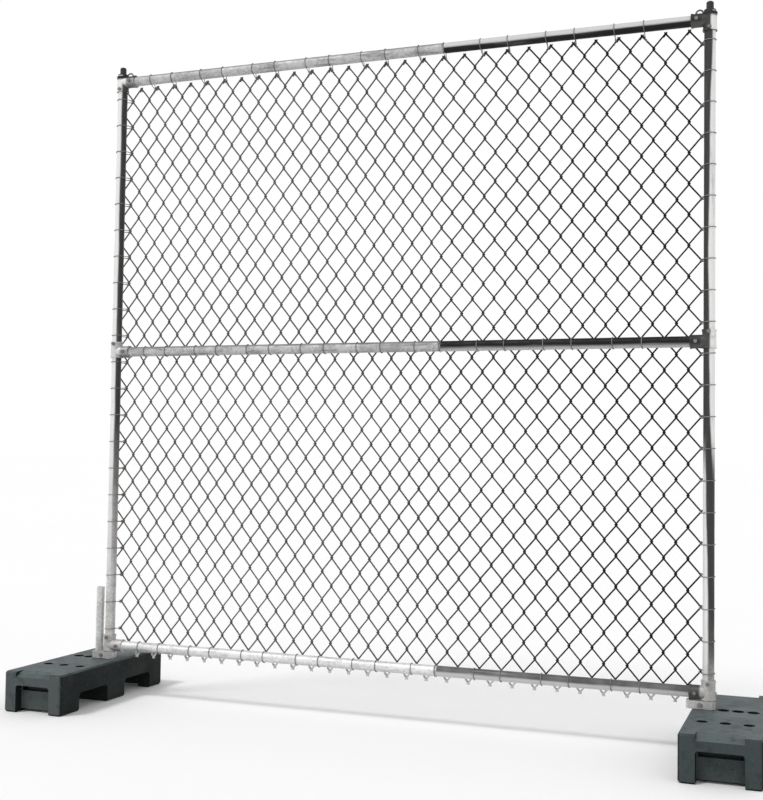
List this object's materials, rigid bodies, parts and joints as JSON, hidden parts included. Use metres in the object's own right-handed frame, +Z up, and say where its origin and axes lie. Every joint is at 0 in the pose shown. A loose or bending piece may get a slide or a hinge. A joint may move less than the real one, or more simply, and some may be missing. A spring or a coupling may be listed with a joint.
{
  "type": "temporary fence panel",
  "caption": "Free-standing temporary fence panel: galvanised tube frame with spliced rails and chain-link mesh, standing in moulded block feet that swivel on its posts.",
  "frame": {"origin": "on the ground, midway between the two feet", "axes": "+X along the panel from the left post to the right post, -Y towards the long toes of the feet, +Z up"},
  "size_m": [2.27, 0.6, 2.123],
  "materials": {
    "post_steel": "galvanised tube, weathered dark towards the top",
    "rail_galvanised": "bright galvanised tube",
    "rail_weathered": "dark weathered tube",
    "fitting_zinc": "dull zinc-coated casting",
    "bolt_zinc": "zinc-plated",
    "cap_plastic": "black moulded plastic",
    "mesh_wire": "galvanised wire",
    "tie_wire": "galvanised wire",
    "foot_plastic": "moulded recycled plastic, green-grey",
    "spigot_galvanised": "galvanised tube"
  },
  "bodies": {
    "panel": {"left_post": "post_steel", "right_post": "post_steel", "top_rail_left": "rail_galvanised", "top_rail_right": "rail_weathered", "middle_rail_left": "rail_galvanised", "middle_rail_right": "rail_weathered", "bottom_rail_left": "rail_galvanised", "bottom_rail_right": "rail_weathered", "top_left_tee": "fitting_zinc", "top_right_tee": "fitting_zinc", "middle_left_tee": "fitting_zinc", "middle_right_tee": "fitting_zinc", "bottom_left_tee": "fitting_zinc", "bottom_right_tee": "fitting_zinc", "tee_set_bolts": "bolt_zinc", "left_post_cap": "cap_plastic", "left_corner_eye": "fitting_zinc", "right_post_cap": "cap_plastic", "right_corner_eye": "fitting_zinc", "chain_link_mesh": "mesh_wire", "left_post_ties": "tie_wire", "right_post_ties": "tie_wire", "top_rail_ties": "tie_wire", "middle_rail_ties": "tie_wire", "bottom_rail_ties": "tie_wire"},
    "left_foot": {"left_foot": "foot_plastic", "left_coupler_front": "fitting_zinc", "left_coupler_back": "fitting_zinc", "left_coupler_bolt": "bolt_zinc"},
    "right_foot": {"right_foot": "foot_plastic"},
    "right_coupler": {"right_coupler_front": "fitting_zinc", "right_coupler_back": "fitting_zinc", "right_coupler_bolt": "bolt_zinc"},
    "spigot": {"spigot": "spigot_galvanised"}
  },
  "joints": [
    {"name": "left_foot_turn", "type": "hinge", "parent": "panel", "child": "left_foot", "pos_m": [-0.97, 0.035, 0.0725], "axis": [0, 0, 1], "range_deg": [-90, 90]},
    {"name": "right_foot_turn", "type": "hinge", "parent": "panel", "child": "right_foot", "pos_m": [0.97, 0.035, 0.0725], "axis": [0, 0, 1], "range_deg": [-90, 90]},
    {"name": "right_coupler_swing", "type": "hinge", "parent": "panel", "child": "right_coupler", "pos_m": [0.97, 0.035, 0.1375], "axis": [0, 0, 1], "range_deg": [0, 180]},
    {"name": "spigot_lift", "type": "slide", "parent": "left_foot", "child": "spigot", "axis": [0, 0, 1], "range_m": [0, 0.1]}
  ]
}
